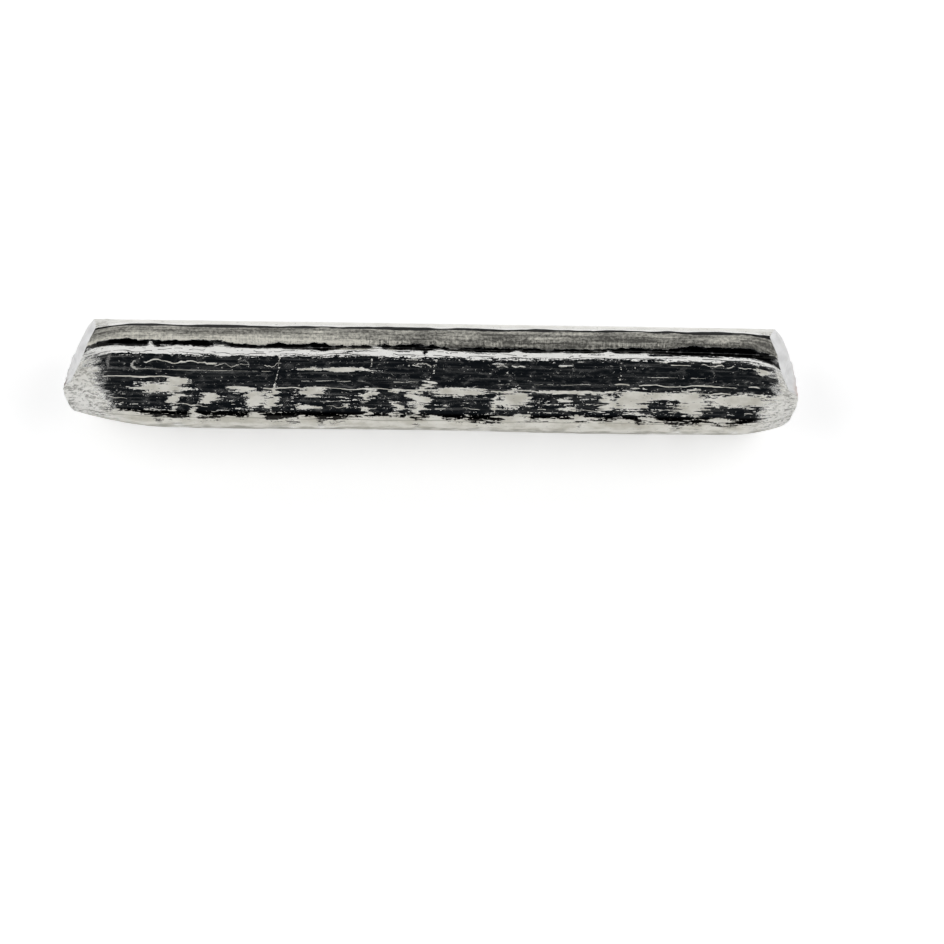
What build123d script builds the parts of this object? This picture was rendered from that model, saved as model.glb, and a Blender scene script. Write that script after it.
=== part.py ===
"""Tin ingot: one short bar of bulk tin, chopped by wedge blades from a longer open casting.

X runs along the bar, Y across it and Z up from the face that lay in the mould. The origin is
under the middle of the bar, on that face. The near side is -Y and the far side is +Y.
"""

import os
from math import cos, pi, radians, sin, tan

from build123d import *

# Bar as it was cast, in millimetres
LENGTH = 110.0  # from tip to tip
BASE_WIDTH = 10.4  # the mould's floor, to where its corners would be if they were sharp
BASE_CORNER = 2.2  # how far each rounded corner reaches along the base and up the side
SHOULDER_WIDTH = 16.4  # the widest place, where the sides turn in to the open face
SHOULDER_HEIGHT = 10.6
OPEN_FACE_HEIGHT = 12.9
EDGE_ROUND = 2.6  # how far the open face's rounded edges reach in from the shoulders

# Open face: a bank on the far side, a cold shut along it, then the flat
BANK_WIDTH = 4.6  # from the far shoulder to the cold shut
BANK_DROP = 0.5
COLD_SHUT_DEPTH = 0.55
LIP_WIDTH = 0.8  # how far the cold shut's two sides reach from its bottom
LIP_RISE = 0.1  # how far the flat begins above its own level
FLAT_DISH = 0.25

# Long waves that the metal froze in, with their shifts as shares of a pitch
FACE_WAVE_PITCH = 41.0
FACE_WAVE_HEIGHT = 0.12
FLAT_WAVE_SHIFT = 0.6
BANK_WAVE_SHIFT = 0.1
COLD_SHUT_WAVE_SHIFT = 0.35
SIDE_WAVE_PITCH = 58.0
SIDE_WAVE_DEPTH = 0.14
SIDE_WAVE_SHIFT = 0.2

# Chop: at each end a pair of wedge blades met on a ridge askew through the section
RIDGE_INSET = 4.2  # from the near shoulder to where the ridge leaves the open face
TORN_WIDTH = 0.5  # the narrow strip on the ridge that tore instead of being cut
DENT = 0.6  # how far the upper blades pressed the open face down
BLADE_SLOPE = 31.0  # degrees between a facet and a square cut
LEFT_BLADE_TILT = 49.0  # degrees off the vertical, to the far side
LEFT_DRAG = 4.2  # how far the lower blade pushed the near corner of the base in
LEFT_DRAG_LENGTH = 16.0
RIGHT_BLADE_TILT = 46.0
RIGHT_DRAG = 3.8
RIGHT_DRAG_LENGTH = 10.0

# Loft
STATIONS_EACH_SIDE = 10
OVERRUN = 1.5  # what the loft has past each tip, cut off by the blades
BASE_TRIM = 0.3  # what it has below the base, cut off flat

# Worked out from the sizes above
FAR_SHOULDER = SHOULDER_WIDTH / 2
NEAR_SHOULDER = -SHOULDER_WIDTH / 2
RIDGE_ACROSS = NEAR_SHOULDER + RIDGE_INSET


def face_wave(x, shift):
    """The open face's long wave at x, up or across."""
    return FACE_WAVE_HEIGHT * sin(2 * pi * (x / FACE_WAVE_PITCH + shift))


def fade(x, side, length):
    """1 at the tip on this side (-1 left, 1 right), easing to 0 at length from it."""
    share = min(max((LENGTH / 2 - side * x) / length, 0), 1)
    return (1 - share) ** 2


def push(tilt):
    """The way that a lower blade moved, across the bar and up."""
    return sin(radians(tilt)), cos(radians(tilt))


def under_ridge(across, up, tilt):
    """How deep a point of the section lies on the lower blade's side of the ridge."""
    push_across, push_up = push(tilt)
    return push_across * (RIDGE_ACROSS - across) + push_up * (OPEN_FACE_HEIGHT - up)


def dragged(x, point):
    """Where a point of the cast section at x ended up: near the tips the lower blades drew it in."""
    across, up = point
    moved_across, moved_up = point
    for side, tilt, drag, length in (
        (-1, LEFT_BLADE_TILT, LEFT_DRAG, LEFT_DRAG_LENGTH),
        (1, RIGHT_BLADE_TILT, RIGHT_DRAG, RIGHT_DRAG_LENGTH),
    ):
        push_across, push_up = push(tilt)
        deepest = under_ridge(-BASE_WIDTH / 2, 0, tilt)
        depth = max(under_ridge(across, up, tilt), 0)
        travel = drag * fade(x, side, length) * depth / deepest
        moved_across += push_across * travel
        moved_up += push_up * travel
    return moved_across, moved_up


def face_height(x):
    """How high the open face is at x, less what the upper blades pressed down."""
    pressed = DENT * (fade(x, -1, LEFT_DRAG_LENGTH) + fade(x, 1, RIGHT_DRAG_LENGTH))
    return OPEN_FACE_HEIGHT - pressed + face_wave(x, FLAT_WAVE_SHIFT)


def cold_shut(x):
    """Where the bottom of the cold shut lies at x."""
    across = FAR_SHOULDER - BANK_WIDTH + face_wave(x, COLD_SHUT_WAVE_SHIFT)
    return across, face_height(x) - COLD_SHUT_DEPTH


def mould_side(x, hand):
    """One side at x, from the base up to the shoulder; hand is 1 far, -1 near."""
    swell = SIDE_WAVE_DEPTH * sin(2 * pi * (x / SIDE_WAVE_PITCH + hand * SIDE_WAVE_SHIFT))
    return [
        (hand * (BASE_WIDTH / 2 - BASE_CORNER), -BASE_TRIM),
        (hand * BASE_WIDTH / 2, -BASE_TRIM),
        (hand * (BASE_WIDTH / 2 + swell), BASE_CORNER),
        (hand * (SHOULDER_WIDTH / 2 + swell), (BASE_CORNER + SHOULDER_HEIGHT) / 2),
        (hand * SHOULDER_WIDTH / 2, SHOULDER_HEIGHT),
    ]


def far_edge(x):
    """The rounded edge at x from the far shoulder to the bank, in line with the bank's slope."""
    corner_height = face_height(x) - BANK_DROP
    crest, crest_height = bank_crest(x)
    slope = (crest_height - corner_height) / (FAR_SHOULDER - crest)
    return [
        (FAR_SHOULDER, SHOULDER_HEIGHT),
        (FAR_SHOULDER, corner_height),
        (FAR_SHOULDER - EDGE_ROUND, corner_height + slope * EDGE_ROUND),
    ]


def bank_crest(x):
    """Where the bank's slope meets the fall into the cold shut at x."""
    shut, _ = cold_shut(x)
    return shut + LIP_WIDTH, face_height(x) + face_wave(x, BANK_WAVE_SHIFT)


def bank(x):
    """The bank at x, from the far edge over its crest to the cold shut."""
    return [far_edge(x)[-1], bank_crest(x), cold_shut(x)]


def lip(x):
    """The steep side of the cold shut at x, up to where the flat begins."""
    shut, shut_height = cold_shut(x)
    return [(shut, shut_height), (shut - LIP_WIDTH, face_height(x) + LIP_RISE)]


def flat(x):
    """The flat at x, a little dished, from the lip to the near edge."""
    top = face_height(x)
    start, start_height = lip(x)[-1]
    end = NEAR_SHOULDER + EDGE_ROUND
    return [
        (start, start_height),
        (start - LIP_WIDTH, start_height),
        ((start + end) / 2, top - FLAT_DISH),
        (end + EDGE_ROUND, top),
        (end, top),
    ]


def near_edge(x):
    """The rounded edge at x from the flat to the near shoulder."""
    top = face_height(x)
    return [
        (NEAR_SHOULDER + EDGE_ROUND, top),
        (NEAR_SHOULDER, top),
        (NEAR_SHOULDER, SHOULDER_HEIGHT),
    ]


def section(x):
    """The bar's section at x: a chain of curves from the base's far corner to its near one."""
    near_side = mould_side(x, -1)[::-1]
    curves = [mould_side(x, 1), far_edge(x), bank(x), lip(x), flat(x), near_edge(x), near_side]
    curves = [[dragged(x, point) for point in curve] for curve in curves]
    outline = [Bezier(*curve) for curve in curves]
    outline.append(Line(curves[-1][-1], curves[0][0]))
    across_the_bar = Plane(origin=(x, 0, 0), x_dir=(0, 1, 0), z_dir=(1, 0, 0))
    return across_the_bar * make_face(outline)


def cast_bar():
    """The bar before its ends were cut, on the flat that the mould's floor gave it."""
    spacing = (LENGTH / 2 + OVERRUN) / STATIONS_EACH_SIDE
    numbers = range(-STATIONS_EACH_SIDE, STATIONS_EACH_SIDE + 1)
    bar = loft([section(spacing * number) for number in numbers])
    return split(bar, bisect_by=Plane.XY, keep=Keep.TOP)


def between_blades(side, tilt):
    """What a pair of wedge blades leaves at one end: a long prism that ends in a roof."""
    reach = LENGTH
    facet_length = reach * tan(radians(BLADE_SLOPE))
    push_across, push_up = push(tilt)
    ridge = Plane(
        origin=(side * LENGTH / 2, RIDGE_ACROSS, OPEN_FACE_HEIGHT),
        x_dir=(side, 0, 0),
        z_dir=(0, push_up, -push_across),
    )
    roof = Polyline(
        (0, TORN_WIDTH / 2),
        (-facet_length, reach),
        (-facet_length - reach, reach),
        (-facet_length - reach, -reach),
        (-facet_length, -reach),
        (0, -TORN_WIDTH / 2),
        close=True,
    )
    return ridge * extrude(make_face(roof), reach, both=True)


def ingot():
    """The chopped bar, set with the middle of its base on the origin."""
    bar = cast_bar()
    bar &= between_blades(-1, LEFT_BLADE_TILT)
    bar &= between_blades(1, RIGHT_BLADE_TILT)
    middle = bar.bounding_box().center()
    return Pos(-middle.X, -middle.Y, 0) * bar.solid()


os.makedirs("parts", exist_ok=True)
export_step(ingot(), "parts/ingot.step")
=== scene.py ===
"""Looks of the tin ingot: one short bar of bulk tin, chopped by wedge blades from an open casting.

Named sizes are in millimetres, and become metres where a mesh, a lamp or the camera is made.
X runs along the bar, Y across it to the far side, and Z up from the face that lay in the mould.
"""

from math import cos, pi, radians, sin, tan

import bpy
import numpy as np
from mathutils import Matrix, Vector


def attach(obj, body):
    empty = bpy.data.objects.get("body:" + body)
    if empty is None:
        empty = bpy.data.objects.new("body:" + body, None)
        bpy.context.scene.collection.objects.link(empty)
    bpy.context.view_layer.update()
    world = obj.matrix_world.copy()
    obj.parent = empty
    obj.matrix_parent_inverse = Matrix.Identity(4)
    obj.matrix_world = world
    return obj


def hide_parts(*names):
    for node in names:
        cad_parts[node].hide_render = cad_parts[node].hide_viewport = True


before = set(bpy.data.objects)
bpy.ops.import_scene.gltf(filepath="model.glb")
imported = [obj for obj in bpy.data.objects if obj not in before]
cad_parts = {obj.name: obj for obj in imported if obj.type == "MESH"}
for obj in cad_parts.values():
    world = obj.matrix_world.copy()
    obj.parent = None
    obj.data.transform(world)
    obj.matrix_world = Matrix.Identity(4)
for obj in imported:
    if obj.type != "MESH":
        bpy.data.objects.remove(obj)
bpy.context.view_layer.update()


# The bar as it was cast: tin poured along an open mould, so its sides and base took the mould's
# shape and its face froze in the air, with a bank along the far side, a cold shut where two
# flows met, and a dished flat.

LENGTH = 110.0  # from tip to tip
BASE_WIDTH = 10.4  # the mould's floor, to where its corners would be if they were sharp
BASE_CORNER = 2.2  # how far each rounded corner reaches along the base and up the side
SHOULDER_WIDTH = 16.4  # the widest place, where the sides turn in to the open face
SHOULDER_HEIGHT = 10.6
OPEN_FACE_HEIGHT = 12.9
EDGE_ROUND = 2.6  # how far the open face's rounded edges reach in from the shoulders
BANK_WIDTH = 4.6  # from the far shoulder to the cold shut
BANK_DROP = 0.5
COLD_SHUT_DEPTH = 0.55
LIP_WIDTH = 0.8  # how far the cold shut's two sides reach from its bottom
LIP_RISE = 0.1  # how far the flat begins above its own level
FLAT_DISH = 0.25
FACE_WAVE_PITCH = 41.0  # of the long waves that the metal froze in; shifts are shares of a pitch
FACE_WAVE_HEIGHT = 0.12
FLAT_WAVE_SHIFT = 0.6
BANK_WAVE_SHIFT = 0.1
COLD_SHUT_WAVE_SHIFT = 0.35
SIDE_WAVE_PITCH = 58.0
SIDE_WAVE_DEPTH = 0.14
SIDE_WAVE_SHIFT = 0.2
BASE_TRIM = 0.3  # how far the section's curves run on below the base

RIDGE_INSET = 4.2  # from the near shoulder to where the ridge leaves the open face
TORN_WIDTH = 0.5  # the narrow strip on the ridge that tore instead of being cut
DENT = 0.6  # how far the upper blades pressed the open face down
BLADE_SLOPE = 31.0  # degrees between a facet and a square cut
BLADES = (  # side, tilt, drag and drag length of the pair of blades at each end
    (-1, 49.0, 4.2, 16.0),
    (1, 46.0, 3.8, 10.0),
)

FAR_SHOULDER = SHOULDER_WIDTH / 2
NEAR_SHOULDER = -SHOULDER_WIDTH / 2
RIDGE_ACROSS = NEAR_SHOULDER + RIDGE_INSET


def face_wave(x, shift):
    """The open face's long wave at x, up or across."""
    return FACE_WAVE_HEIGHT * np.sin(2 * pi * (x / FACE_WAVE_PITCH + shift))


def fade(x, side, length):
    """1 at the tip on this side, easing to 0 at length from it."""
    return (1 - np.clip((LENGTH / 2 - side * x) / length, 0, 1)) ** 2


def under_ridge(across, up, tilt):
    """How deep a point of the section lies on the lower blade's side of the ridge."""
    return sin(radians(tilt)) * (RIDGE_ACROSS - across) + cos(radians(tilt)) * (OPEN_FACE_HEIGHT - up)


def dragged(x, across, up):
    """Where a point of the cast section ended up: near the tips the lower blades drew it in."""
    moved_across, moved_up = across, up
    for side, tilt, drag, length in BLADES:
        depth = np.maximum(under_ridge(across, up, tilt), 0)
        travel = drag * fade(x, side, length) * depth / under_ridge(-BASE_WIDTH / 2, 0, tilt)
        moved_across = moved_across + sin(radians(tilt)) * travel
        moved_up = moved_up + cos(radians(tilt)) * travel
    return moved_across, moved_up


def face_height(x):
    """How high the open face is at x, less what the upper blades pressed down."""
    pressed = sum(DENT * fade(x, side, length) for side, tilt, drag, length in BLADES)
    return OPEN_FACE_HEIGHT - pressed + face_wave(x, FLAT_WAVE_SHIFT)


def cold_shut(x):
    """Where the bottom of the cold shut lies at x."""
    across = FAR_SHOULDER - BANK_WIDTH + face_wave(x, COLD_SHUT_WAVE_SHIFT)
    return across, face_height(x) - COLD_SHUT_DEPTH


def mould_side(x, hand):
    """One side from the base up to the shoulder; hand is 1 far, -1 near."""
    swell = SIDE_WAVE_DEPTH * np.sin(2 * pi * (x / SIDE_WAVE_PITCH + hand * SIDE_WAVE_SHIFT))
    return [
        (hand * (BASE_WIDTH / 2 - BASE_CORNER), -BASE_TRIM),
        (hand * BASE_WIDTH / 2, -BASE_TRIM),
        (hand * (BASE_WIDTH / 2 + swell), BASE_CORNER),
        (hand * (SHOULDER_WIDTH / 2 + swell), (BASE_CORNER + SHOULDER_HEIGHT) / 2),
        (hand * SHOULDER_WIDTH / 2, SHOULDER_HEIGHT),
    ]


def far_side(x):
    return mould_side(x, 1)


def near_side(x):
    return mould_side(x, -1)[::-1]


def bank_crest(x):
    """Where the bank's slope meets the fall into the cold shut at x."""
    return cold_shut(x)[0] + LIP_WIDTH, face_height(x) + face_wave(x, BANK_WAVE_SHIFT)


def far_edge(x):
    """The rounded edge from the far shoulder to the bank, in line with the bank's slope."""
    corner_height = face_height(x) - BANK_DROP
    crest, crest_height = bank_crest(x)
    slope = (crest_height - corner_height) / (FAR_SHOULDER - crest)
    return [
        (FAR_SHOULDER, SHOULDER_HEIGHT),
        (FAR_SHOULDER, corner_height),
        (FAR_SHOULDER - EDGE_ROUND, corner_height + slope * EDGE_ROUND),
    ]


def bank(x):
    return [far_edge(x)[-1], bank_crest(x), cold_shut(x)]


def lip(x):
    """The steep side of the cold shut, up to where the flat begins."""
    shut, shut_height = cold_shut(x)
    return [(shut, shut_height), (shut - LIP_WIDTH, face_height(x) + LIP_RISE)]


def flat(x):
    """The flat, a little dished, from the lip to the near edge."""
    top = face_height(x)
    start, start_height = lip(x)[-1]
    end = NEAR_SHOULDER + EDGE_ROUND
    return [
        (start, start_height),
        (start - LIP_WIDTH, start_height),
        ((start + end) / 2, top - FLAT_DISH),
        (end + EDGE_ROUND, top),
        (end, top),
    ]


def near_edge(x):
    top = face_height(x)
    return [(NEAR_SHOULDER + EDGE_ROUND, top), (NEAR_SHOULDER, top), (NEAR_SHOULDER, SHOULDER_HEIGHT)]


def base(x):
    return [near_side(x)[-1], far_side(x)[0]]


CURVES = (  # each curve around the section, with the mesh lines that it gets
    (far_side, 26), (far_edge, 28), (bank, 18), (lip, 7),
    (flat, 72), (near_edge, 28), (near_side, 26), (base, 10),
)
LINES = sum(count for curve, count in CURVES)
STATIONS = 400  # steps of the mesh along each line
END_CROWDING = 0.07  # how much closer together the stations are near the cuts
CUT_ROUNDS = 60  # enough for the end of each mesh line to settle on its cut


def cast_lines(x):
    """The section's points before the chop at x, which has a row for each mesh line."""
    across, up = np.empty(x.shape), np.empty(x.shape)
    first = 0
    for curve, count in CURVES:
        rows = slice(first, first + count)
        share = (np.arange(count) / count)[:, None]
        corners = [np.array(np.broadcast_arrays(*corner, x[rows])[:2]) for corner in curve(x[rows])]
        while len(corners) > 1:
            corners = [here + (there - here) * share for here, there in zip(corners, corners[1:])]
        across[rows], up[rows] = corners[0]
        first += count
    return across, up


def facet_x(side, tilt, across, up):
    """Where the pair of blades on this side cut a point of the section."""
    off_ridge = np.maximum(abs(under_ridge(across, up, tilt)) - TORN_WIDTH / 2, 0)
    return side * (LENGTH / 2 - tan(radians(BLADE_SLOPE)) * off_ridge)


def cut_ends():
    """Where each mesh line meets the two cuts."""
    ends = []
    for side, tilt, drag, length in BLADES:
        x = np.full((LINES, 1), side * LENGTH / 2)
        for _ in range(CUT_ROUNDS):
            across, up = dragged(x, *cast_lines(x))
            x = facet_x(side, tilt, across, up)
        ends.append(x)
    return ends


left_end, right_end = cut_ends()
run = np.linspace(0, 1, STATIONS + 1)[None, :]
run = run - END_CROWDING * np.sin(2 * pi * run) / pi
x = left_end + (right_end - left_end) * run
cast_across, cast_up = cast_lines(x)
across, up = dragged(x, cast_across, cast_up)
up = np.maximum(up, 0)

middle = STATIONS // 2
step_across = np.diff(cast_across[:, middle], append=cast_across[0, middle])
step_up = np.diff(cast_up[:, middle], append=cast_up[0, middle])
girth = np.concatenate([[0], np.cumsum(np.hypot(step_across, step_up))])  # from the base's far corner
around = np.broadcast_to(girth[:-1, None], x.shape)

line_starts = np.cumsum([0] + [count for curve, count in CURVES])
first_line = dict(zip((curve for curve, count in CURVES), line_starts))
face_lines = slice(first_line[far_edge], first_line[near_side])
far_shoulder, near_shoulder = girth[face_lines.start], girth[face_lines.stop]


# The skin: the flat froze bright, and a matt oxide skin stayed on it in bands and torn patches.
# The skin is a little raised, the blades crumpled it near the tips, and the mould left pits.

PATCHES = (  # middle along and across, half length and half width of each patch of oxide skin
    (-40.3, -3.2, 3.6, 0.75), (-37.6, -2.4, 1.6, 0.6), (-38.2, -5.2, 0.6, 1.5), (-32.8, -4.9, 1.1, 0.75),
    (-35.0, -7.0, 0.4, 1.0), (-27.6, -3.3, 1.8, 0.4), (-26.1, -4.9, 1.4, 1.2), (-23.6, -5.0, 0.8, 1.6),
    (-18.0, -3.6, 1.7, 0.7), (-18.3, -6.0, 1.5, 0.3), (-13.4, 0.0, 5.1, 0.28), (-9.5, -4.0, 0.7, 1.0),
    (-9.9, -6.9, 0.5, 0.9), (-5.6, -3.4, 0.9, 0.35), (-4.9, -5.8, 0.6, 0.5), (-2.1, -4.5, 1.3, 1.2),
    (-2.2, -6.3, 0.6, 1.0), (-0.4, -2.2, 0.7, 0.7), (4.2, -3.3, 3.9, 0.65), (9.5, -5.0, 0.5, 1.1),
    (12.4, -4.3, 2.1, 1.4), (12.6, -7.3, 2.4, 0.6), (20.4, -4.4, 1.0, 0.3), (21.0, -5.8, 1.4, 0.25),
    (21.0, -3.2, 4.5, 0.3), (26.2, -4.7, 0.9, 1.6), (30.0, -4.3, 2.4, 1.7), (35.0, -3.6, 5.5, 0.55),
    (38.8, -4.6, 1.9, 1.9), (46.4, -4.1, 5.4, 1.0), (43.0, -7.2, 1.6, 0.35), (32.6, -7.2, 1.5, 0.4),
    (21.8, -7.2, 1.2, 0.35), (49.7, 0.7, 0.9, 0.5), (-38.6, -1.9, 1.0, 0.3),
)
WRINKLES = (  # from and to along, middle across, swing and pitch of each fine raised wrinkle
    (-3.0, -0.5, 0.55, 0.24, 5.2), (9.0, 11.0, 0.85, 0.14, 4.4), (12.0, 14.2, 0.75, 0.08, 1.3),
    (18.9, 21.2, 0.8, 0.05, 2.1),
)
CREASES = (  # along and across at one end, then at the other, of each crease that runs over the flat
    (-22.7, 1.9, -23.9, -5.4), (-9.1, 2.2, -9.0, -1.2), (0.8, 2.0, -0.7, -3.0), (11.6, 0.4, 9.4, -4.4),
    (28.3, 1.6, 28.0, -1.8), (30.2, 2.0, 30.4, -0.8), (-43.2, -0.1, -44.6, 0.9),
)
SHUT_STEPS = (  # middle and half length along, and how far the pale lip reaches up into the cold shut
    (-42.1, 0.35, 0.612), (-31.6, 0.9, 0.504), (-16.1, 1.8, -0.504), (-8.2, 1.5, 0.468),
    (-1.0, 0.45, -0.81), (1.3, 0.9, 0.432), (12.8, 0.9, 0.468), (26.5, 0.5, 0.54), (32.0, 0.4, 0.36),
)
BARE = -0.95  # the oxide's level where none is left; the skin shows where it is above 0
SHOULDER_BLEND = 1.2  # how far below the shoulders the open face's look fades out
PULLED_LEFT, PULLED_RIGHT = 5.5, 6.5  # how far from each cut the blades pulled the skin aside
SETTLED = 0.045  # how far the skin's own level lies inside the solid's faces
SEAM_BLEND = 2.0  # how far from the base's far corner the relief fades out

SEED, LAYERS, CELLS = 7, 8, 256  # of the random heights that every drift is drawn from
SHIFT_ALONG, SHIFT_ASIDE = 97.3, 31.7  # cells between where one layer starts and the next
heights = np.random.default_rng(SEED).uniform(-1, 1, (LAYERS, CELLS, CELLS))


def ease(value, low, high):
    """0 below low and 1 above high, eased between them."""
    share = np.clip((value - low) / (high - low), 0, 1)
    return share * share * (3 - 2 * share)


def drift(along, aside, pitch_along, pitch_aside, layer):
    """Smooth random heights between -1 and 1 that change over the two pitches."""
    u, v = along / pitch_along + SHIFT_ALONG * layer, aside / pitch_aside + SHIFT_ASIDE * layer
    i, j = np.floor(u).astype(int), np.floor(v).astype(int)
    share_u, share_v = ease(u - i, 0, 1), ease(v - j, 0, 1)
    table = heights[layer % LAYERS]
    here, there = (
        table[row % CELLS, j % CELLS] * (1 - share_v) + table[row % CELLS, (j + 1) % CELLS] * share_v
        for row in (i, i + 1)
    )
    return here * (1 - share_u) + there * share_u


def mottle(pitch_along, pitch_around, layer):
    """A drift over the whole skin."""
    return drift(x, around, pitch_along, pitch_around, layer)


def sway(pitch, layer):
    """A drift that changes only along the bar."""
    return drift(x, 0 * x, pitch, 1, layer)


below_face = np.maximum(np.maximum(far_shoulder - around, around - near_shoulder), 0)
on_face = 1 - ease(below_face, 0.0, SHOULDER_BLEND)

# Where the skin lay across the bar before the blades pulled it aside, and its torn outlines.
from_left, from_right = x - left_end, right_end - x
left_pull = (1 - np.clip(from_left / PULLED_LEFT, 0, 1)) ** 2
right_pull = (1 - np.clip(from_right / PULLED_RIGHT, 0, 1)) ** 2
bend = 1.4 * ease(cast_across, -3.0, 1.0) * (1 - 0.4 * ease(cast_across, 4.0, 6.7)) * left_pull
bend += 1.7 * ease(cast_across, -4.5, 1.5) * (1 - 0.7 * ease(cast_across, 3.5, 6.5)) * right_pull
bend -= 1.2 * (1 - ease(cast_across, -7.5, -5.0)) * right_pull
bend *= on_face
laid = cast_across + bend
torn_x = x + 0.9 * mottle(7.0, 0.24, 1) + 0.35 * mottle(1.3, 0.5, 1) + 0.25 * mottle(0.5, 0.25, 2)
torn_across = laid + 0.2 + 0.16 * mottle(2.2, 0.6, 3) + 0.09 * mottle(0.7, 0.3, 4)

# The oxide on the flat: patches, the pale lip beside the cold shut, and the near rim.
oxide = BARE + 0.50 * (1 - ease(laid, -4.2, -3.2)) + 0.16 * mottle(6.0, 0.5, 6)
for along, aside, half_length, half_width in PATCHES:
    reach = np.hypot((torn_x - along) / half_length, (torn_across - aside) / half_width)
    oxide = np.maximum(oxide, 0.9 * (1 - reach))
left_rise = 0.36 * (1 - ease(x, -36, -16))
right_fall = 0.50 * ease(x, 31, 35)
lip_steps = sum(
    rise * np.exp(-(((x - along) / half_length) ** 2)) for along, half_length, rise in SHUT_STEPS
)
skin_edge = 2.15 + 0.10 * sway(5.0, 5)
shut_edge = 3.15 + left_rise - right_fall + 0.18 * sway(2.6, 6) + lip_steps
oxide = np.maximum(oxide, 1.2 * np.minimum(torn_across - skin_edge, shut_edge - torn_across))
rim_edge = -7.50 + 0.62 * np.maximum(sway(3.4, 2), -0.3) + 0.26 * sway(1.1, 3)
oxide = np.maximum(oxide, np.clip(1.2 * (rim_edge - torn_across), -0.9, 0.6))

# The raised wrinkles along the flat and the dotted creases over it.
wrinkle = np.zeros(x.shape)
for start, end, aside, swing, pitch in WRINKLES:
    line = aside + swing * np.sin(2 * pi * x / pitch) + 0.16 * sway(1.5, 4) + 0.07 * sway(0.6, 3)
    off = abs(laid - line) / (0.10 + 0.05 * sway(0.9, 5))
    inside = ease(x, start - 0.2, start + 0.2) * (1 - ease(x, end - 0.2, end + 0.2))
    wrinkle = np.maximum(wrinkle, np.clip(1.25 - off, 0, 1) * inside)
for x_far, far, x_near, near in CREASES:
    share = np.clip((far - cast_across) / (far - near), 0, 1)
    line = x_far + (x_near - x_far) * share + 0.8 * share * (1 - share)
    line += 0.12 * drift(0 * x, cast_across, 1, 0.7, 6)
    inside = ease(cast_across, near - 0.1, near + 0.1) * (1 - ease(cast_across, far - 0.1, far + 0.1))
    dots = ease(drift(x, cast_across, 3, 0.32, 7), -0.75, 0.1)
    wrinkle = np.maximum(wrinkle, 0.75 * np.clip(1.2 - abs(x - line) / 0.22, 0, 1) * inside * dots)
oxide = np.maximum(oxide, 1.3 * wrinkle - 0.9)

# The skin that the blades crushed near the cuts, farther in towards the near side.
near_share = ease(-cast_across, -3.5, 7.5)
frayed = 0.55 * drift(x, laid, 1.4, 0.30, 6) + 0.45 * drift(x, laid, 3.0, 1.1, 2)
crumple_left = 1 - ease(from_left + frayed, 1.2 + 2.2 * near_share, 4.9 + 4.6 * near_share)
crumple_right = 1 - ease(from_right + 1.3 * frayed, 0.4 + 1.3 * near_share, 2.9 + 4.4 * near_share)
crumple = np.maximum(crumple_left, crumple_right) * (0.45 + 0.55 * near_share) * (0.25 + 0.75 * on_face)
pits = ease(mottle(0.55, 0.45, 1) + 0.6 * mottle(1.3, 1.1, 2), 0.2, 1.0)
crushed_oxide = 1.9 * crumple + BARE + 0.25 * mottle(1.0, 0.8, 3) * crumple - 0.35 * pits * crumple
oxide = np.maximum(oxide, crushed_oxide)

# The cold shut's two ragged edges, and the bank beyond it, which froze without this skin.
shut_line = cold_shut(x)[0]
near_left = 1 - ease(from_left, 1.5, 9.0)
shut_top = shut_line + 0.22 + left_rise + 0.30 * near_left + 0.55 * ease(x, 32, 40)
shut_top += 0.30 * sway(5.2, 1) + 0.16 * sway(1.3, 2) + 0.10 * sway(0.5, 3)
shut_bottom = shut_line - 0.42 + left_rise - 0.30 * near_left - right_fall + lip_steps
shut_bottom += 0.14 * sway(3.1, 4) + 0.12 * sway(0.8, 5)
in_shut = ease(laid, shut_bottom - 0.22, shut_bottom + 0.22) * on_face
in_shut *= 1 - ease(laid, shut_top - 0.26, shut_top + 0.26)
on_bank = ease(laid, shut_top - 0.1, shut_top + 0.1) * (1 - ease(laid, 6.55, 6.75)) * on_face
oxide = np.where(on_bank > 0.3, -0.9, oxide)

# How far all of this stands out of the skin or lies in it.
relief = 0.010 * mottle(11.0, 0.55, 1) + 0.022 * mottle(24.0, 1.9, 2)
relief += 0.030 * ease(oxide, -0.25, 0.15) * on_face
relief += 0.055 * wrinkle
relief += 0.020 * on_bank * (mottle(0.4, 0.7, 3) + mottle(5.0, 0.3, 4))
relief -= 0.10 * in_shut * ease(sway(2.0, 5), -0.6, 0.6)
relief += crumple * (0.10 * mottle(1.5, 1.1, 5) + 0.06 * mottle(0.6, 0.5, 6) - 0.05 * pits) * on_face
mould_skin = 1 - on_face
mould_pits = ease(mottle(2.4, 1.3, 7) + 0.7 * mottle(0.8, 0.8, 1), 0.75, 1.3)
relief += mould_skin * (0.030 * mottle(15.0, 0.9, 3) + 0.018 * mottle(1.2, 1.0, 4) - 0.12 * mould_pits)
relief -= mould_skin * 0.05 * ease(mottle(34.0, 0.7, 6), 0.55, 0.8)
relief *= ease(np.minimum(around, girth[-1] - around), 0.0, SEAM_BLEND)

points = np.stack([x, across, up], axis=-1)
along_bar = np.gradient(points, axis=1)
around_bar = np.roll(points, -1, axis=0) - np.roll(points, 1, axis=0)
outward = np.cross(around_bar, along_bar)
outward /= np.linalg.norm(outward, axis=-1, keepdims=True)
points = points + outward * (relief - SETTLED)[..., None]
points[..., 2] = np.maximum(points[..., 2], 0)


# The chopped ends: two facets that the wedge blades left, fine drag lines down them, and the
# narrow rough strip between them that tore last.

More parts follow.
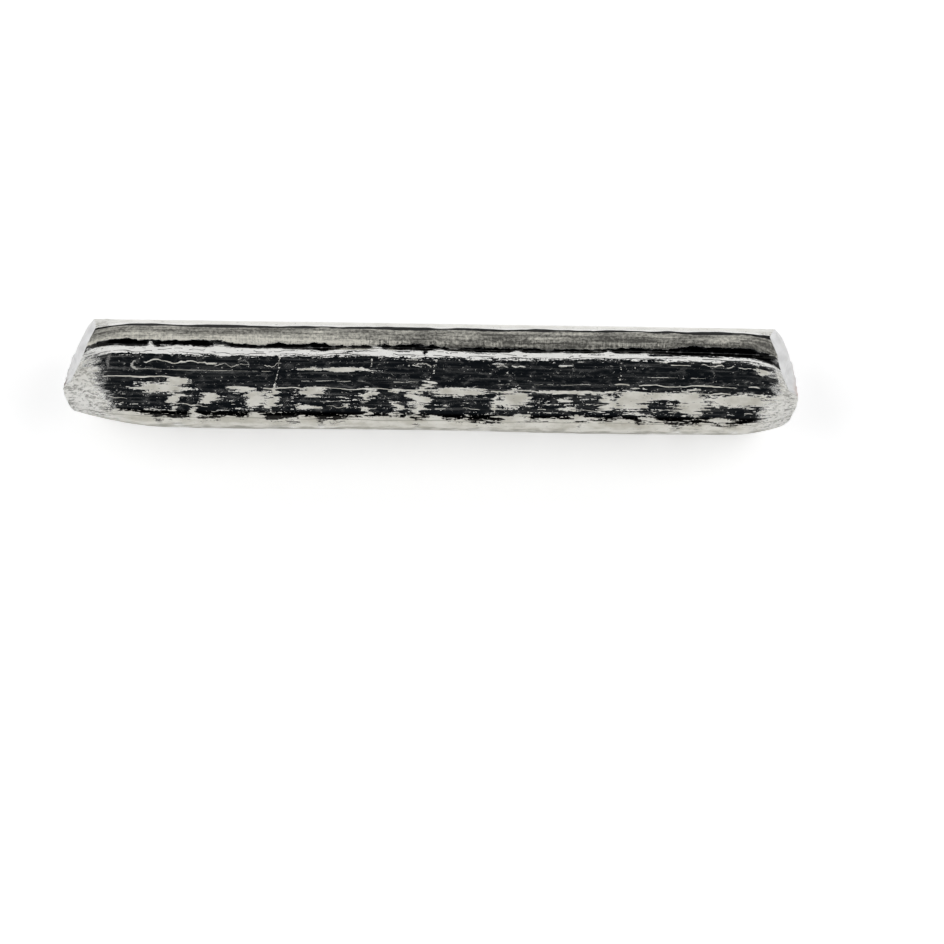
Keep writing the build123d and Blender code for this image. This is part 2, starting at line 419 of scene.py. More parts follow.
RINGS = 16  # of the mesh, from a cut's rim to its middle
HUB_DOWN = 7.2  # from the open face down the ridge to the middle of a cut
RIM_REACH = 5  # mesh lines to each side over which a rim is evened out
RIM_ROUNDS = 3
DRAWN_OUT = {-1: 0.75, 1: 1.15}  # how far the metal drew out along the ridge before it tore
SWELL = {-1: 0.75, 1: 1.1}  # how far the upper facet stands out past a plain cut
TORN_FADE = {-1: (0.85, 2.4, 4.2), 1: (0.7, 3.0, 7.0)}  # share of the strip lost, from and to down it
TIP_MARGIN = 0.02  # how far the tips stay within the bar's length
RIM_STATION = {-1: 0, 1: STATIONS}
RIM_STEPS = 8  # stations beside a cut that are kept from passing it
RIM_GAP = 0.10  # how far apart they stay


def down_ridge(across, up, tilt):
    """How far a point of the section lies down the ridge from its tip."""
    return cos(radians(tilt)) * (across - RIDGE_ACROSS) + sin(radians(tilt)) * (OPEN_FACE_HEIGHT - up)


def cut_face(side, tilt):
    """One cut in rings from its rim to its middle: its x, its places in the section, its tearing."""
    rim = points[:, RIM_STATION[side], 1:]
    even_rim = rim  # without the cold shut's notch, which the rings lose on their way in
    for _ in range(RIM_ROUNDS):
        shifted = [np.roll(even_rim, step, axis=0) for step in range(-RIM_REACH, RIM_REACH + 1)]
        even_rim = sum(shifted) / len(shifted)
    inward = (np.arange(RINGS + 1) / RINGS)[None, :]
    rings = rim[:, None] + (even_rim - rim)[:, None] * ease(inward, 0.0, 0.2)[..., None]
    hub_across = RIDGE_ACROSS + cos(radians(tilt)) * HUB_DOWN
    hub_up = OPEN_FACE_HEIGHT - sin(radians(tilt)) * HUB_DOWN
    cut = rings + (np.array([hub_across, hub_up]) - rings) * inward[..., None]
    depth = under_ridge(cut[..., 0], cut[..., 1], tilt)
    down = down_ridge(cut[..., 0], cut[..., 1], tilt)

    inset = 0.12 + 0.05 * drift(down, depth, 0.9, 7.0, 2) + 0.03 * drift(down, depth, 0.3, 6.0, 3)
    hollow = ease(-depth, 0.1, 0.8) * (1 - 0.75 * ease(-depth, 0.8, 6.5)) * (1 - 0.8 * ease(down, 4.0, 9.0))
    inset += DRAWN_OUT[side] * hollow
    inset += 0.16 * (1 - ease(abs(depth), 0.2, 0.6)) * (0.5 + 0.5 * drift(down, depth, 0.5, 0.5, 4))
    far_corner = ease(rim[:, :1], 6.0, 8.0) * ease(rim[:, 1:], 4.0, 8.0)
    inside = ease(inward, 0.0, 0.5) * ease(-depth, 1.2, 4.5)
    swelled = 1 - (1 - inside) * (1 - far_corner * ease(1 - inward, 0.0, 1.0))
    inset -= SWELL[side] * swelled
    inset = np.maximum(inset, TIP_MARGIN - swelled)

    strip = 1 - ease(abs(depth), 0.18, 0.50)
    inset -= 0.22 * strip * np.maximum(drift(down, depth, 0.7, 0.4, 5), 0)
    plain_x = facet_x(side, tilt, cut[..., 0], cut[..., 1])
    cut_x = side * np.minimum(side * plain_x - inset, LENGTH / 2 - TIP_MARGIN)
    lost, start, end = TORN_FADE[side]
    return cut_x, cut, side * strip * (1 - lost * ease(down, start, end))


cuts = {side: cut_face(side, tilt) for side, tilt, drag, length in BLADES}
torn_rims = np.zeros(x.shape)
for side, (cut_x, cut, torn) in cuts.items():
    station = RIM_STATION[side]
    torn_rims[:, station] = torn[:, 0]
    points[:, station, 0] = cut_x[:, 0]
    for step in range(1, RIM_STEPS + 1):
        beside = station - side * step
        limit = cut_x[:, 0] - side * RIM_GAP * step
        points[:, beside, 0] = side * np.minimum(side * points[:, beside, 0], side * limit)


def closed(rows):
    """The rows around the bar, with the first one again after the last."""
    return np.concatenate([rows, rows[:1]], axis=0)


def quads(grid):
    """The four corners of each square of a grid."""
    corners = [grid[:-1, :-1], grid[:-1, 1:], grid[1:, 1:], grid[1:, :-1]]
    return np.stack(corners, axis=-1).reshape(-1, 4)


count = LINES * (STATIONS + 1)
skin_ids = closed(np.arange(count).reshape(LINES, STATIONS + 1))
skin_faces = quads(skin_ids)
vertices, torn_values, cut_faces = [points.reshape(-1, 3)], [torn_rims.reshape(-1)], []
for side, (cut_x, cut, torn) in cuts.items():
    hub_id = count + LINES * (RINGS - 1)
    ring_ids = np.arange(count, hub_id).reshape(LINES, RINGS - 1)
    ring_ids = closed(np.concatenate([skin_ids[:LINES, RIM_STATION[side], None], ring_ids], axis=1))
    squares = quads(ring_ids)
    fan = np.stack([ring_ids[:-1, -1], np.full(LINES, hub_id), ring_ids[1:, -1]], axis=-1)
    if side < 0:
        squares, fan = squares[:, ::-1], fan[:, ::-1]
    cut_faces += squares.tolist() + fan.tolist()
    inner = np.concatenate([cut_x[:, 1:-1, None], cut[:, 1:-1]], axis=-1)
    hub = np.array([[cut_x[0, -1], *cut[0, -1]]])
    vertices += [inner.reshape(-1, 3), hub]
    torn_values += [torn[:, 1:-1].reshape(-1), torn[0, -1:]]
    count = hub_id + 1
vertices = np.concatenate(vertices) / 1000

face_list = skin_faces.tolist() + cut_faces
mesh = bpy.data.meshes.new("ingot_cast")
mesh.from_pydata(vertices.tolist(), [], face_list)
mesh.update()

material_index = np.zeros(len(face_list), dtype=np.int32)
material_index[len(skin_faces):] = 1
mesh.polygons.foreach_set("material_index", material_index)
mesh.polygons.foreach_set("use_smooth", np.ones(len(face_list), dtype=bool))

# The flow map: along the bar and around it as the skin lay, and the section's own plane on the cuts.
FLOW_SPAN = 100.0  # millimetres to one unit of the map
CUTS_ASIDE = (80.0, 0.0)  # keeps the cuts' part of the map clear of the skin's

flow_along = closed(x)
flow_around = np.concatenate([around - bend, np.full_like(x[:1], girth[-1])], axis=0)
skin_corners = 4 * len(skin_faces)
corner_points = np.empty(len(mesh.loops), dtype=np.int32)
mesh.loops.foreach_get("vertex_index", corner_points)
flow_places = np.empty((len(mesh.loops), 2))
flow_places[:skin_corners, 0] = quads(flow_along).reshape(-1)
flow_places[:skin_corners, 1] = quads(flow_around).reshape(-1)
flow_places[skin_corners:] = vertices[corner_points[skin_corners:], 1:] * 1000 + CUTS_ASIDE
flow_map = mesh.uv_layers.new(name="flow")
flow_map.uv.foreach_set("vector", (flow_places / FLOW_SPAN).reshape(-1).astype(np.float32))


def store(name, values):
    """A value for each point, which a material reads; 0 for the points past the last value."""
    attribute = mesh.attributes.new(name, "FLOAT", "POINT")
    data = np.zeros(len(mesh.vertices), dtype=np.float32)
    data[: values.size] = values.reshape(-1)
    attribute.data.foreach_set("value", data)


store("oxide", oxide)
store("open_face", on_face)
store("bank", on_bank)
store("cold_shut", in_shut)
store("crumple", crumple)
store("torn", np.concatenate(torn_values))  # -1 on the strip at the left end, 1 at the right

edge_ids = np.empty(len(mesh.edges) * 2, dtype=np.int32)
mesh.edges.foreach_get("vertices", edge_ids)
on_rim = np.isin(edge_ids, skin_ids[:, (0, STATIONS)]).reshape(-1, 2).all(axis=1)
sharp = mesh.attributes.new("sharp_edge", "BOOLEAN", "EDGE")
sharp.data.foreach_set("value", on_rim)

ingot = bpy.data.objects.new("ingot_cast", mesh)
bpy.context.collection.objects.link(ingot)


class Nodes:
    """A short way to build a node tree: add a node with its settings, and link or set its inputs."""

    def __init__(self, tree):
        self.tree = tree

    def add(self, kind, inputs=(), **settings):
        node = self.tree.nodes.new(kind)
        for name, value in settings.items():
            setattr(node, name, value)
        for name, value in dict(inputs).items():
            self.set(node.inputs[name], value)
        return node

    def set(self, socket, value):
        if isinstance(value, bpy.types.NodeSocket):
            self.tree.links.new(value, socket)
        else:
            socket.default_value = value

    def math(self, operation, first, second=0.0, clamp=False):
        inputs = {0: first, 1: second}
        return self.add("ShaderNodeMath", inputs, operation=operation, use_clamp=clamp).outputs[0]

    def plus(self, first, second, clamp=False):
        return self.math("ADD", first, second, clamp)

    def minus(self, first, second):
        return self.math("SUBTRACT", first, second)

    def times(self, first, second, clamp=False):
        return self.math("MULTIPLY", first, second, clamp)

    def most(self, first, second, clamp=False):
        return self.math("MAXIMUM", first, second, clamp)

    def ramp(self, value, low, high, to_low=0.0, to_high=1.0):
        inputs = {"Value": value, "From Min": low, "From Max": high, "To Min": to_low, "To Max": to_high}
        return self.add("ShaderNodeMapRange", inputs, interpolation_type="SMOOTHSTEP").outputs["Result"]

    def mix(self, share, first, second):
        node = self.add("ShaderNodeMix", data_type="RGBA")
        self.set(node.inputs["Factor"], share)
        self.set(node.inputs[6], first)
        self.set(node.inputs[7], second)
        return node.outputs[2]

    def value(self, name):
        return self.add("ShaderNodeAttribute", attribute_name=name).outputs["Fac"]

    def noise(self, place, pitch_along, pitch_aside, detail=2.0, roughness=0.5, shift=0.0):
        """Noise on the flow map; its pitches are how far its spots reach, in millimetres."""
        scale = (FLOW_SPAN / pitch_along, FLOW_SPAN / pitch_aside, 1.0)
        inputs = {"Vector": place, "Scale": scale, "Location": (shift, shift * 1.7, 0.0)}
        mapping = self.add("ShaderNodeMapping", inputs)
        inputs = {"Vector": mapping.outputs[0], "Scale": 1.0, "Detail": detail, "Roughness": roughness}
        return self.add("ShaderNodeTexNoise", inputs).outputs["Fac"]

    def metal(self, colour, metallic, roughness, height, relief):
        """The shader and the output; relief is what a height of 1 stands out, in millimetres."""
        bump = self.add("ShaderNodeBump", {"Height": height, "Distance": relief / 1000, "Strength": 1.0})
        shader = self.add("ShaderNodeBsdfPrincipled", {
            "Base Color": colour, "Metallic": metallic, "Roughness": roughness, "Normal": bump.outputs[0],
        })
        self.add("ShaderNodeOutputMaterial", {"Surface": shader.outputs[0]})


def new_material(name):
    material = bpy.data.materials.new(name)
    material.use_nodes = True
    material.node_tree.nodes.clear()
    return material, Nodes(material.node_tree)


# The skin's material: bare tin that froze bright, dull oxide over it, painted shade in the cold shut, and
# painted dark reflections on the bank and on the flat's rounded near edge.

BRIGHT_TIN = (0.80, 0.80, 0.78, 1.0)
# Near black for the painted shade in the cold shut and along the far edge, and for the dark fine lines
# beside the lip.
NEAR_BLACK = (0.035, 0.035, 0.035, 1.0)
# Painted dark reflection: near black on the flat's rounded near edge.
BLACK_EDGE_REFLECTION = (0.014, 0.0135, 0.012, 1.0)  # on the flat's rounded near edge
PALE_OXIDE = (0.80, 0.785, 0.725, 1.0)
GREY_OXIDE = (0.56, 0.54, 0.47, 1.0)
LIP_WHITE = (0.96, 0.955, 0.93, 1.0)
RIM_GREY = (0.26, 0.25, 0.21, 1.0)
CRUSHED_DARK, CRUSHED_PALE = (0.10, 0.097, 0.087, 1.0), (0.97, 0.965, 0.94, 1.0)
# The bank's colour runs from a painted dark reflection to its own pale layers.
BANK_DARK_REFLECTION, BANK_PALE = (0.055, 0.052, 0.040, 1.0), (0.78, 0.76, 0.68, 1.0)
MOULD_OXIDE = (0.42, 0.41, 0.365, 1.0)
MOULD_PALE, MOULD_GREY = (0.60, 0.59, 0.56, 1.0), (0.28, 0.275, 0.245, 1.0)
SKIN_RELIEF = 0.06
LINE_FADE = 0.3  # half the length over which a fine line's ends fade
FINE_LINES = (  # across, half width, wander, from, to, share missing and pitch of each pale line
    (-3.25, 0.13, 0.16, -25.0, 47.0, 0.36), (-1.70, 0.16, 0.12, -49.0, -37.6, 0.30),
    (-2.05, 0.13, 0.16, 27.5, 49.0, 0.35), (2.38, 0.20, 0.10, 33.0, 52.0, 0.0),
    (0.74, 0.17, 0.28, -42.9, -32.2, 0.0, 2.6), (0.45, 0.06, 0.40, -32.4, -22.5, 0.42, 2.8),
    (1.20, 0.16, 0.05, 35.9, 38.7, 0.0), (1.22, 0.11, 0.26, 40.5, 45.2, 0.30, 1.8),
    (1.10, 0.11, 0.16, 46.0, 47.8, 0.20, 2.6), (-0.53, 0.04, 0.04, -44.5, -24.0, 0.36),
    (-0.75, 0.04, 0.06, 30.5, 41.0, 0.50), (-2.05, 0.05, 0.08, -20.0, -2.0, 0.50),
    (-2.05, 0.05, 0.08, 10.0, 24.0, 0.50), (-6.2, 0.07, 0.22, -50.0, 50.0, 0.53),
    (-5.3, 0.05, 0.20, -50.0, 50.0, 0.56),
)
BUBBLE_RINGS = (  # along and across, half length and half width, line width, strength and turn
    (-47.9, 0.60, 0.55, 0.85, 0.70, 0.22, 170.0), (-43.7, 0.15, 1.05, 0.72, 0.26, 0.55, 190.0),
    (-28.2, 0.30, 0.9, 0.9, 0.16, 0.25, 70.0), (-1.3, 0.35, 1.15, 0.60, 0.20, 0.8, 75.0),
    (10.6, 0.55, 0.8, 0.40, 0.28, 0.8, 90.0),
)

cast_tin, nodes = new_material("cast_tin")
flow = nodes.add("ShaderNodeUVMap", uv_map="flow").outputs["UV"]
oxide_here = nodes.value("oxide")
bank_here = nodes.value("bank")
shut_here = nodes.value("cold_shut")
crumple_here = nodes.value("crumple")
face_here = nodes.value("open_face")

tears = nodes.noise(flow, 3.6, 0.34, detail=3.0)
shreds = nodes.noise(flow, 1.0, 0.14, detail=2.0, shift=2.0)
grain = nodes.noise(flow, 0.4, 0.35, detail=3.0, roughness=0.6, shift=3.0)
clouds = nodes.noise(flow, 3.0, 2.2, detail=3.0, shift=5.0)
smears = nodes.noise(flow, 9.0, 0.45, detail=2.0, shift=7.0)
hairlines = nodes.noise(flow, 30.0, 0.16, detail=2.0, shift=9.0)
combed = nodes.noise(flow, 0.22, 1.3, detail=3.0, roughness=0.6, shift=11.0)

# How much skin there is: the torn oxide, a haze of it, and hairs along the flow.
level = nodes.plus(oxide_here, nodes.ramp(tears, 0.2, 0.8, -0.42, 0.42))
level = nodes.plus(level, nodes.ramp(shreds, 0.2, 0.8, -0.30, 0.30))
level = nodes.plus(level, nodes.ramp(grain, 0.2, 0.8, -0.24, 0.24))
torn_skin = nodes.ramp(level, -0.05, 0.06)
ghosts = nodes.noise(flow, 1.6, 0.8, detail=5.0, roughness=0.65, shift=17.0)
smeared = nodes.times(nodes.ramp(smears, 0.50, 0.75), 0.06)
haze = nodes.plus(smeared, nodes.times(nodes.ramp(ghosts, 0.50, 0.72), 0.13))
hair = nodes.times(nodes.ramp(hairlines, 0.60, 0.74), nodes.ramp(smears, 0.35, 0.65))
hair = nodes.times(hair, 0.22)
along_here, aside_here, _ = nodes.add("ShaderNodeSeparateXYZ", {0: flow}).outputs


def map_at(aside, shift=0.0):
    """Where a place across the open face lies on the flow map, or shift nearer than that."""
    place = float(np.interp(-aside, -cast_across[face_lines, middle], girth[:-1][face_lines]))
    return (place + shift) / FLOW_SPAN


def over_face(far, near, to_far=0.0, to_near=1.0):
    """A ramp between two places across the open face."""
    return nodes.ramp(aside_here, map_at(far), map_at(near), to_far, to_near)


def fade_at(along, to_left, to_right):
    """A short ramp at a place along the bar."""
    return nodes.ramp(
        along_here, (along - LINE_FADE) / FLOW_SPAN, (along + LINE_FADE) / FLOW_SPAN, to_left, to_right,
    )


def flow_line(aside, width, wander, start, end, gaps, pitch=4.2):
    """A fine line along the bar that wanders a little and breaks up; gaps is how much is missing."""
    places = {0: along_here, 1: FLOW_SPAN / pitch, 2: 40.0 + aside * 3.0}
    place = nodes.add("ShaderNodeMath", places, operation="MULTIPLY_ADD").outputs[0]
    noise = nodes.add("ShaderNodeTexNoise", {"W": place, "Scale": 1.0, "Detail": 3.0}, noise_dimensions="1D")
    wave, thickness, presence = nodes.add("ShaderNodeSeparateColor", {0: noise.outputs["Color"]}).outputs
    middle_line = nodes.ramp(wave, 0.25, 0.75, map_at(aside, -wander), map_at(aside, wander))
    off = nodes.math("ABSOLUTE", nodes.minus(aside_here, middle_line))
    thick = nodes.ramp(thickness, 0.3, 0.7, 0.35 * width / FLOW_SPAN, width / FLOW_SPAN)
    line = nodes.ramp(nodes.minus(1.0, nodes.math("DIVIDE", off, thick)), 0.0, 0.35)
    there = nodes.ramp(presence, gaps - 0.02, gaps + 0.02)
    there = nodes.times(there, fade_at(start, 0.0, 1.0))
    there = nodes.times(there, fade_at(end, 1.0, 0.0))
    return nodes.times(line, there)


rounded = over_face(-6.6, -7.1)
haze = nodes.most(haze, hair)
haze = nodes.times(haze, nodes.minus(1.0, nodes.times(rounded, nodes.times(face_here, 0.85))))
skin = nodes.most(torn_skin, haze)
for line_sizes in FINE_LINES:
    skin = nodes.most(skin, flow_line(*line_sizes))


def bubble_ring(along, aside, half_length, half_width, width, strength, turn):
    """Part of a fine ring that a bubble left on the face; turn is where on the ring the part lies."""
    off_along = nodes.times(nodes.minus(along_here, along / FLOW_SPAN), FLOW_SPAN / half_length)
    off_aside = nodes.times(nodes.minus(aside_here, map_at(aside)), FLOW_SPAN / half_width)
    squares = nodes.plus(nodes.math("POWER", off_along, 2.0), nodes.math("POWER", off_aside, 2.0))
    radius = nodes.plus(nodes.math("SQRT", squares), nodes.ramp(grain, 0.3, 0.7, -0.15, 0.15))
    off = nodes.math("ABSOLUTE", nodes.minus(radius, 1.0))
    line = nodes.ramp(off, 0.3 * width, width, 1.0, 0.0)
    turned_along = nodes.times(off_along, cos(radians(turn)))
    toward = nodes.minus(turned_along, nodes.times(off_aside, sin(radians(turn))))
    part = nodes.times(nodes.ramp(toward, 0.15, 0.55), nodes.ramp(shreds, 0.30, 0.42))
    return nodes.times(nodes.times(line, part), strength)


for ring_sizes in BUBBLE_RINGS:
    skin = nodes.most(skin, bubble_ring(*ring_sizes))

# The bank's layers, with columns of light and dark that hang down to the cold shut, lighter near the cold
# shut on the left and darker on the right; the bank's colour is partly its own layers and partly a painted
# dark reflection where it is dark.
layers = nodes.noise(flow, 12.0, 0.46, detail=5.0, roughness=0.65, shift=13.0)
stretches = nodes.noise(flow, 4.5, 2.5, detail=2.0, shift=23.0)
flecks = nodes.noise(flow, 0.5, 0.35, detail=4.0, roughness=0.7, shift=19.0)
near_shut = over_face(5.9, 4.3)
to_right = nodes.ramp(along_here, -0.25, 0.15)
bank_light = nodes.ramp(layers, 0.32, 0.68, -0.34, 0.34)
bank_light = nodes.plus(bank_light, nodes.ramp(flecks, 0.3, 0.7, -0.34, 0.34))
columns = nodes.ramp(combed, 0.3, 0.7, -0.34, 0.34)
column_share = nodes.plus(0.06, nodes.times(near_shut, nodes.ramp(stretches, 0.38, 0.62, 0.15, 1.0)))
bank_light = nodes.plus(bank_light, nodes.times(columns, column_share))
lower_light = nodes.times(near_shut, nodes.ramp(to_right, 0.0, 1.0, 0.62, -0.16))
bank_light = nodes.plus(bank_light, nodes.ramp(stretches, 0.35, 0.65, -0.14, 0.14))
bank_light = nodes.plus(nodes.plus(bank_light, lower_light), 0.33, clamp=True)
bank_skin = nodes.ramp(bank_light, 0.2, 0.9, 0.35, 0.85)
skin = nodes.most(skin, nodes.times(bank_skin, bank_here))
specks = nodes.times(nodes.ramp(flecks, 0.61, 0.65), nodes.ramp(ghosts, 0.48, 0.54))
skin = nodes.most(skin, nodes.times(specks, 0.8))

# The mould's grey skin, which starts with a blurred edge below the shoulders.
mould = nodes.minus(1.0, face_here)
blurred = nodes.plus(nodes.ramp(clouds, 0.3, 0.7, -0.014, 0.014), nodes.ramp(tears, 0.3, 0.7, -0.008, 0.008))
blurred = nodes.plus(aside_here, blurred)
below_near = nodes.ramp(blurred, (near_shoulder + 0.2) / FLOW_SPAN, (near_shoulder + 3.4) / FLOW_SPAN)
below_far = nodes.ramp(
    blurred, (far_shoulder - 3.4) / FLOW_SPAN, (far_shoulder - 0.2) / FLOW_SPAN, 1.0, 0.0,
)
below_shoulder = nodes.most(below_near, below_far)
low_mould = nodes.times(below_shoulder, mould)
mould_skin_here = nodes.ramp(nodes.plus(clouds, nodes.times(grain, 0.35)), 0.45, 0.95)
mould_skin_here = nodes.plus(nodes.times(mould_skin_here, 0.42), 0.14)
mould_skin_here = nodes.times(mould_skin_here, below_shoulder)
skin = nodes.most(skin, nodes.times(mould_skin_here, mould), clamp=True)

# The oxide's colours: in the patches, in the crushed skin, on the lip, the sides and the bank.
oxide_colour = nodes.mix(nodes.ramp(clouds, 0.35, 0.72), PALE_OXIDE, GREY_OXIDE)
crumbs = nodes.plus(nodes.times(flecks, 0.55), nodes.times(ghosts, 0.45))
crumbs = nodes.plus(nodes.ramp(crumbs, 0.38, 0.62, -0.95, 0.95), nodes.ramp(clouds, 0.35, 0.65, 0.45, 0.95))
crumbs = nodes.plus(crumbs, over_face(-1.0, -4.5, -0.12, 0.22), clamp=True)
crushed = nodes.mix(crumbs, CRUSHED_DARK, CRUSHED_PALE)
in_lip = over_face(4.0, 3.7)
in_lip = nodes.times(in_lip, over_face(1.9, 1.6, 1.0, 0.0))
oxide_colour = nodes.mix(nodes.times(in_lip, 0.85), oxide_colour, LIP_WHITE)
oxide_colour = nodes.mix(nodes.times(crumple_here, 0.8, clamp=True), oxide_colour, crushed)
# The bank's colour: its own layers, and a painted dark reflection where they are dark.
bank_tone_and_reflection = nodes.mix(bank_light, BANK_DARK_REFLECTION, BANK_PALE)
oxide_colour = nodes.mix(low_mould, oxide_colour, MOULD_OXIDE)
oxide_colour = nodes.mix(bank_here, oxide_colour, bank_tone_and_reflection)
# The line at the far edge is painted shade along the bank's edge.
edge_line = flow_line(6.72, 0.42, 0.12, -60.0, 60.0, 0.0, 9.0)
skin_line = flow_line(2.25, 0.07, 0.14, -60.0, 60.0, 0.42)
rim_line = flow_line(-7.85, 0.15, 0.10, -60.0, 60.0, 0.32, 7.0)
oxide_colour = nodes.mix(nodes.times(rim_line, 0.55), oxide_colour, RIM_GREY)
lip_line = flow_line(2.78, 0.09, 0.20, -60.0, 60.0, 0.52)

# Painted shade: the cold shut's groove is painted near black, with a little dust in it, and so is the fine
# line at the far edge; the fine lines beside the lip are the same near black.
ragged = nodes.plus(shut_here, nodes.ramp(flecks, 0.3, 0.7, -0.40, 0.40))
ragged = nodes.plus(ragged, nodes.ramp(shreds, 0.25, 0.75, -0.25, 0.25))
dust = nodes.times(nodes.ramp(ghosts, 0.50, 0.68), 0.55)
shade_and_dark_lines = nodes.times(nodes.ramp(ragged, 0.40, 0.56), nodes.minus(1.0, dust))
shade_and_dark_lines = nodes.most(shade_and_dark_lines, nodes.most(edge_line, nodes.most(skin_line, lip_line)))
edge_skin = nodes.ramp(aside_here, map_at(7.15, -0.2), map_at(7.15, 0.1), 0.45, 0.0)
skin = nodes.most(skin, nodes.times(edge_skin, face_here))
skin = nodes.times(skin, nodes.minus(1.0, shade_and_dark_lines), clamp=True)

# The bare metal's colours, then the two together.
mould_mottle = nodes.ramp(nodes.plus(clouds, nodes.times(hairlines, 0.6)), 0.55, 1.05)
mould_metal = nodes.mix(mould_mottle, MOULD_PALE, MOULD_GREY)
metal_colour = nodes.mix(low_mould, BRIGHT_TIN, mould_metal)
metal_colour = nodes.mix(nodes.times(bank_here, 0.85), metal_colour, bank_tone_and_reflection)
# Painted dark reflection on the flat's rounded near edge, less where the skin is crushed.
painted_edge_reflection = nodes.times(over_face(-6.7, -7.2), face_here)
painted_edge_reflection = nodes.times(painted_edge_reflection, nodes.minus(1.0, nodes.times(crumple_here, 0.8)))
metal_colour = nodes.mix(painted_edge_reflection, metal_colour, BLACK_EDGE_REFLECTION)
# The painted shade of the cold shut and of the far edge line, and the dark lines beside the lip.
metal_colour = nodes.mix(shade_and_dark_lines, metal_colour, NEAR_BLACK)
colour = nodes.mix(skin, metal_colour, oxide_colour)

roughness = nodes.ramp(smears, 0.2, 0.8, 0.06, 0.16)
roughness = nodes.plus(roughness, nodes.times(bank_here, 0.20))
roughness = nodes.plus(roughness, nodes.times(mould, nodes.ramp(clouds, 0.3, 0.7, 0.10, 0.28)))
roughness = nodes.plus(roughness, nodes.times(skin, 0.48), clamp=True)
chalky = nodes.most(in_lip, nodes.times(crumple_here, crumbs))
dullness = nodes.plus(nodes.times(chalky, 0.24), 0.72)
metallic = nodes.minus(1.0, nodes.times(skin, dullness))

height = nodes.times(torn_skin, nodes.ramp(grain, 0.2, 0.8, 0.25, 0.55))
height = nodes.plus(height, nodes.times(hairlines, 0.10))
height = nodes.plus(height, nodes.times(nodes.times(combed, bank_here), 0.6))
height = nodes.plus(height, nodes.times(nodes.times(flecks, crumple_here), 3.5))
nodes.metal(colour, metallic, roughness, height, SKIN_RELIEF)

# The cuts' material: clean tin with drag lines along the ridge, and brown grit where it tore, whose darkest
# part at the left end is painted shade.

CUT_PALE, CUT_GREY = (0.66, 0.66, 0.662, 1.0), (0.56, 0.56, 0.56, 1.0)
TORN_DARK_SHADE, TORN_BROWN = (0.085, 0.045, 0.038, 1.0), (0.26, 0.19, 0.17, 1.0)
TORN_PALE = (0.62, 0.54, 0.51, 1.0)  # the strip at the right end
DRAG_TURN = 43.0  # degrees that the drag lines are turned on the section
CUT_RELIEF = 0.03

cut_tin, nodes = new_material("cut_tin")
flow = nodes.add("ShaderNodeUVMap", uv_map="flow").outputs["UV"]
turning = {"Vector": flow, "Rotation": (0.0, 0.0, radians(DRAG_TURN))}
turned = nodes.add("ShaderNodeMapping", turning).outputs[0]
drag_lines = nodes.noise(turned, 6.0, 0.16, detail=3.0)
blotches = nodes.noise(turned, 2.4, 1.6, detail=3.0, shift=4.0)
colour = nodes.mix(nodes.ramp(blotches, 0.3, 0.7), CUT_PALE, CUT_GREY)
torn_here = nodes.value("torn")
grit = nodes.noise(flow, 0.35, 0.35, detail=4.0, roughness=0.7, shift=6.0)
is_torn = nodes.times(nodes.math("ABSOLUTE", torn_here), nodes.ramp(grit, 0.05, 0.40))
# Brown grit on the left end's torn strip, partly painted shade where it is darkest.
brown_and_shade = nodes.mix(nodes.ramp(grit, 0.35, 0.70), TORN_DARK_SHADE, TORN_BROWN)
torn_colour = nodes.mix(nodes.ramp(torn_here, -0.1, 0.1), brown_and_shade, TORN_PALE)
colour = nodes.mix(is_torn, colour, torn_colour)
roughness = nodes.ramp(drag_lines, 0.3, 0.7, 0.26, 0.42)
roughness = nodes.plus(roughness, nodes.ramp(blotches, 0.4, 0.8, 0.0, 0.08))
roughness = nodes.plus(roughness, nodes.times(is_torn, 0.30))
metallic = nodes.minus(1.0, nodes.times(is_torn, 0.75))
height = nodes.plus(drag_lines, nodes.times(nodes.times(is_torn, grit), 4.0))
nodes.metal(colour, metallic, roughness, height, CUT_RELIEF)

mesh.materials.append(cast_tin)
mesh.materials.append(cut_tin)
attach(ingot, "root")
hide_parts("ingot")


# The table and the light: a plain white floor, a pale room below a dark ceiling, which the
# bright flat mirrors, and a soft lamp high at each end of the bar.

FLOOR_REACH = 4000.0
FLOOR_GLOW = 0.46  # of the floor as the camera and the metal see it, so that it stays white
CEILING_TILT = 10.0  # degrees that the ceiling's middle lies to the near side of straight up
DARK_STARTS, DARK_FULL = 0.56, 0.67  # cosines of the angle from the ceiling's middle
WALL_COLOUR = (1.0, 1.0, 1.0, 1.0)
CEILING_COLOUR = (0.005, 0.0065, 0.0085, 1.0)
LAMP_SIZE = 800.0
LAMP_POWER = 4.0

floor_mesh = bpy.data.meshes.new("floor")
reach = FLOOR_REACH / 1000
floor_corners = [(-reach, -reach, 0), (reach, -reach, 0), (reach, reach, 0), (-reach, reach, 0)]
floor_mesh.from_pydata(floor_corners, [], [(0, 1, 2, 3)])
floor = bpy.data.objects.new("floor", floor_mesh)
bpy.context.collection.objects.link(floor)
paper, nodes = new_material("paper")
light_path = nodes.add("ShaderNodeLightPath")
seen = nodes.most(light_path.outputs["Is Camera Ray"], light_path.outputs["Is Glossy Ray"])
seen = nodes.most(seen, light_path.outputs["Is Transmission Ray"])
shader = nodes.add("ShaderNodeBsdfPrincipled", {
    "Base Color": (0.80, 0.80, 0.80, 1.0), "Roughness": 0.9, "Specular IOR Level": 0.0,
    "Emission Color": (1.0, 1.0, 1.0, 1.0), "Emission Strength": nodes.times(seen, FLOOR_GLOW),
})
nodes.add("ShaderNodeOutputMaterial", {"Surface": shader.outputs[0]})
floor_mesh.materials.append(paper)

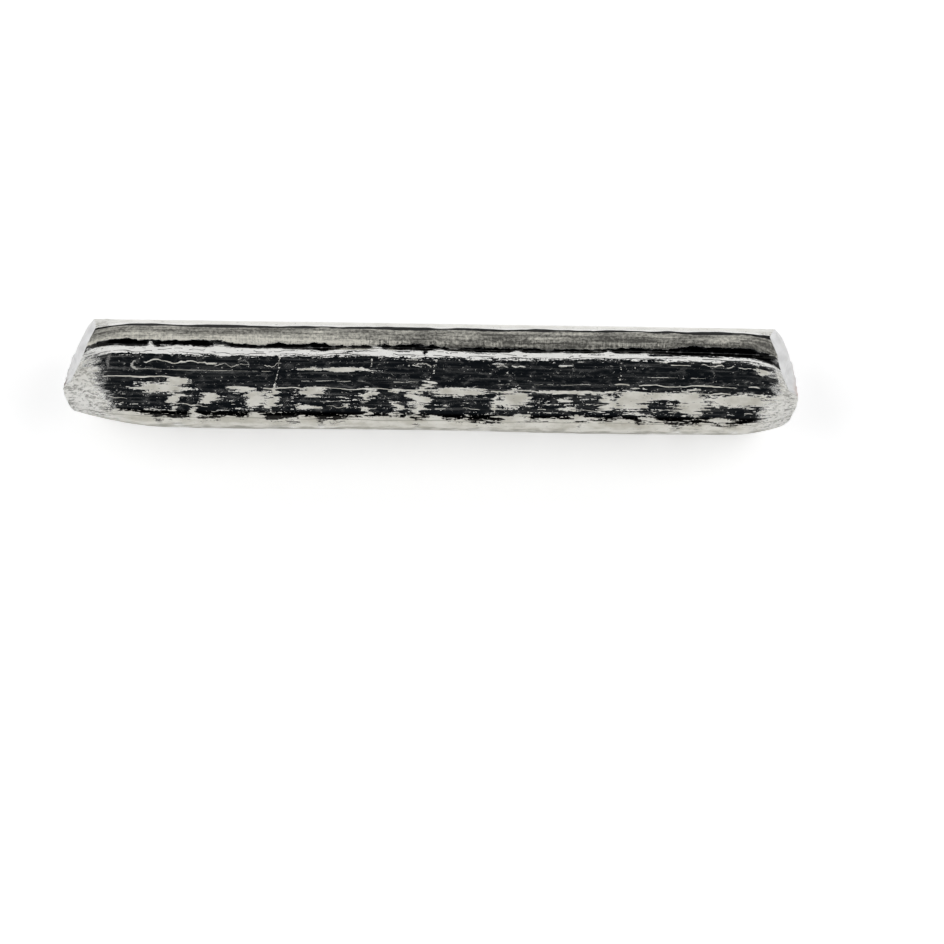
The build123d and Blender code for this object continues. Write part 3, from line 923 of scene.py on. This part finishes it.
room = bpy.data.worlds.new("room")
room.use_nodes = True
room.node_tree.nodes.clear()
nodes = Nodes(room.node_tree)
direction = nodes.add("ShaderNodeTexCoord").outputs["Generated"]
parts = nodes.add("ShaderNodeSeparateXYZ", {0: direction})
rise = nodes.times(parts.outputs["Z"], cos(radians(CEILING_TILT)))
rise = nodes.minus(rise, nodes.times(parts.outputs["Y"], sin(radians(CEILING_TILT))))
sky = nodes.mix(nodes.ramp(rise, DARK_STARTS, DARK_FULL), WALL_COLOUR, CEILING_COLOUR)
background = nodes.add("ShaderNodeBackground", {"Color": sky, "Strength": 1.0})
nodes.add("ShaderNodeOutputWorld", {"Surface": background.outputs[0]})
bpy.context.scene.world = room


def soft_lamp(name, place):
    """A square lamp that faces the middle of the bar."""
    lamp = bpy.data.lights.new(name, "AREA")
    lamp.shape = "RECTANGLE"
    lamp.size = lamp.size_y = LAMP_SIZE / 1000
    lamp.energy = LAMP_POWER
    lamp_object = bpy.data.objects.new(name, lamp)
    lamp_object.location = [value / 1000 for value in place]
    lamp_object.rotation_euler = (-lamp_object.location).to_track_quat("-Z", "Y").to_euler()
    bpy.context.collection.objects.link(lamp_object)


soft_lamp("lamp_left", (-780.0, -100.0, 740.0))
soft_lamp("lamp_right", (780.0, -50.0, 740.0))


# The camera: a long lens looking down on the bar from the near side, rolled a little.

ELEVATION = 70.0
LENS = 150.0
SENSOR = 36.0
PIXELS = 944
PIXELS_PER_MM = 6.65
ROLL = 0.85
AIM_HEIGHT = 9.0
BAR_PIXEL = (431.5, 379.0)  # where the aim shows, from the frame's upper left corner

distance = PIXELS / PIXELS_PER_MM / SENSOR * LENS
to_camera = Vector((0, -cos(radians(ELEVATION)), sin(radians(ELEVATION))))
camera_up = Vector((0, sin(radians(ELEVATION)), cos(radians(ELEVATION))))
camera_right = Vector((1, 0, 0))
turn = Matrix.Rotation(radians(ROLL), 3, to_camera)
right, upward = turn @ camera_right, turn @ camera_up
offset_right = (PIXELS / 2 - BAR_PIXEL[0]) / PIXELS_PER_MM
offset_down = (PIXELS / 2 - BAR_PIXEL[1]) / PIXELS_PER_MM
aim = Vector((0, 0, AIM_HEIGHT)) + offset_right * right - offset_down * upward
camera_data = bpy.data.cameras.new("camera")
camera_data.lens = LENS
camera_data.sensor_width = SENSOR
camera_data.clip_start = 0.01
camera = bpy.data.objects.new("camera", camera_data)
axes = Matrix((right, upward, to_camera)).transposed()
camera.matrix_world = Matrix.Translation((aim + distance * to_camera) / 1000) @ axes.to_4x4()
bpy.context.collection.objects.link(camera)
bpy.context.scene.camera = camera
bpy.context.scene.view_settings.view_transform = "Standard"
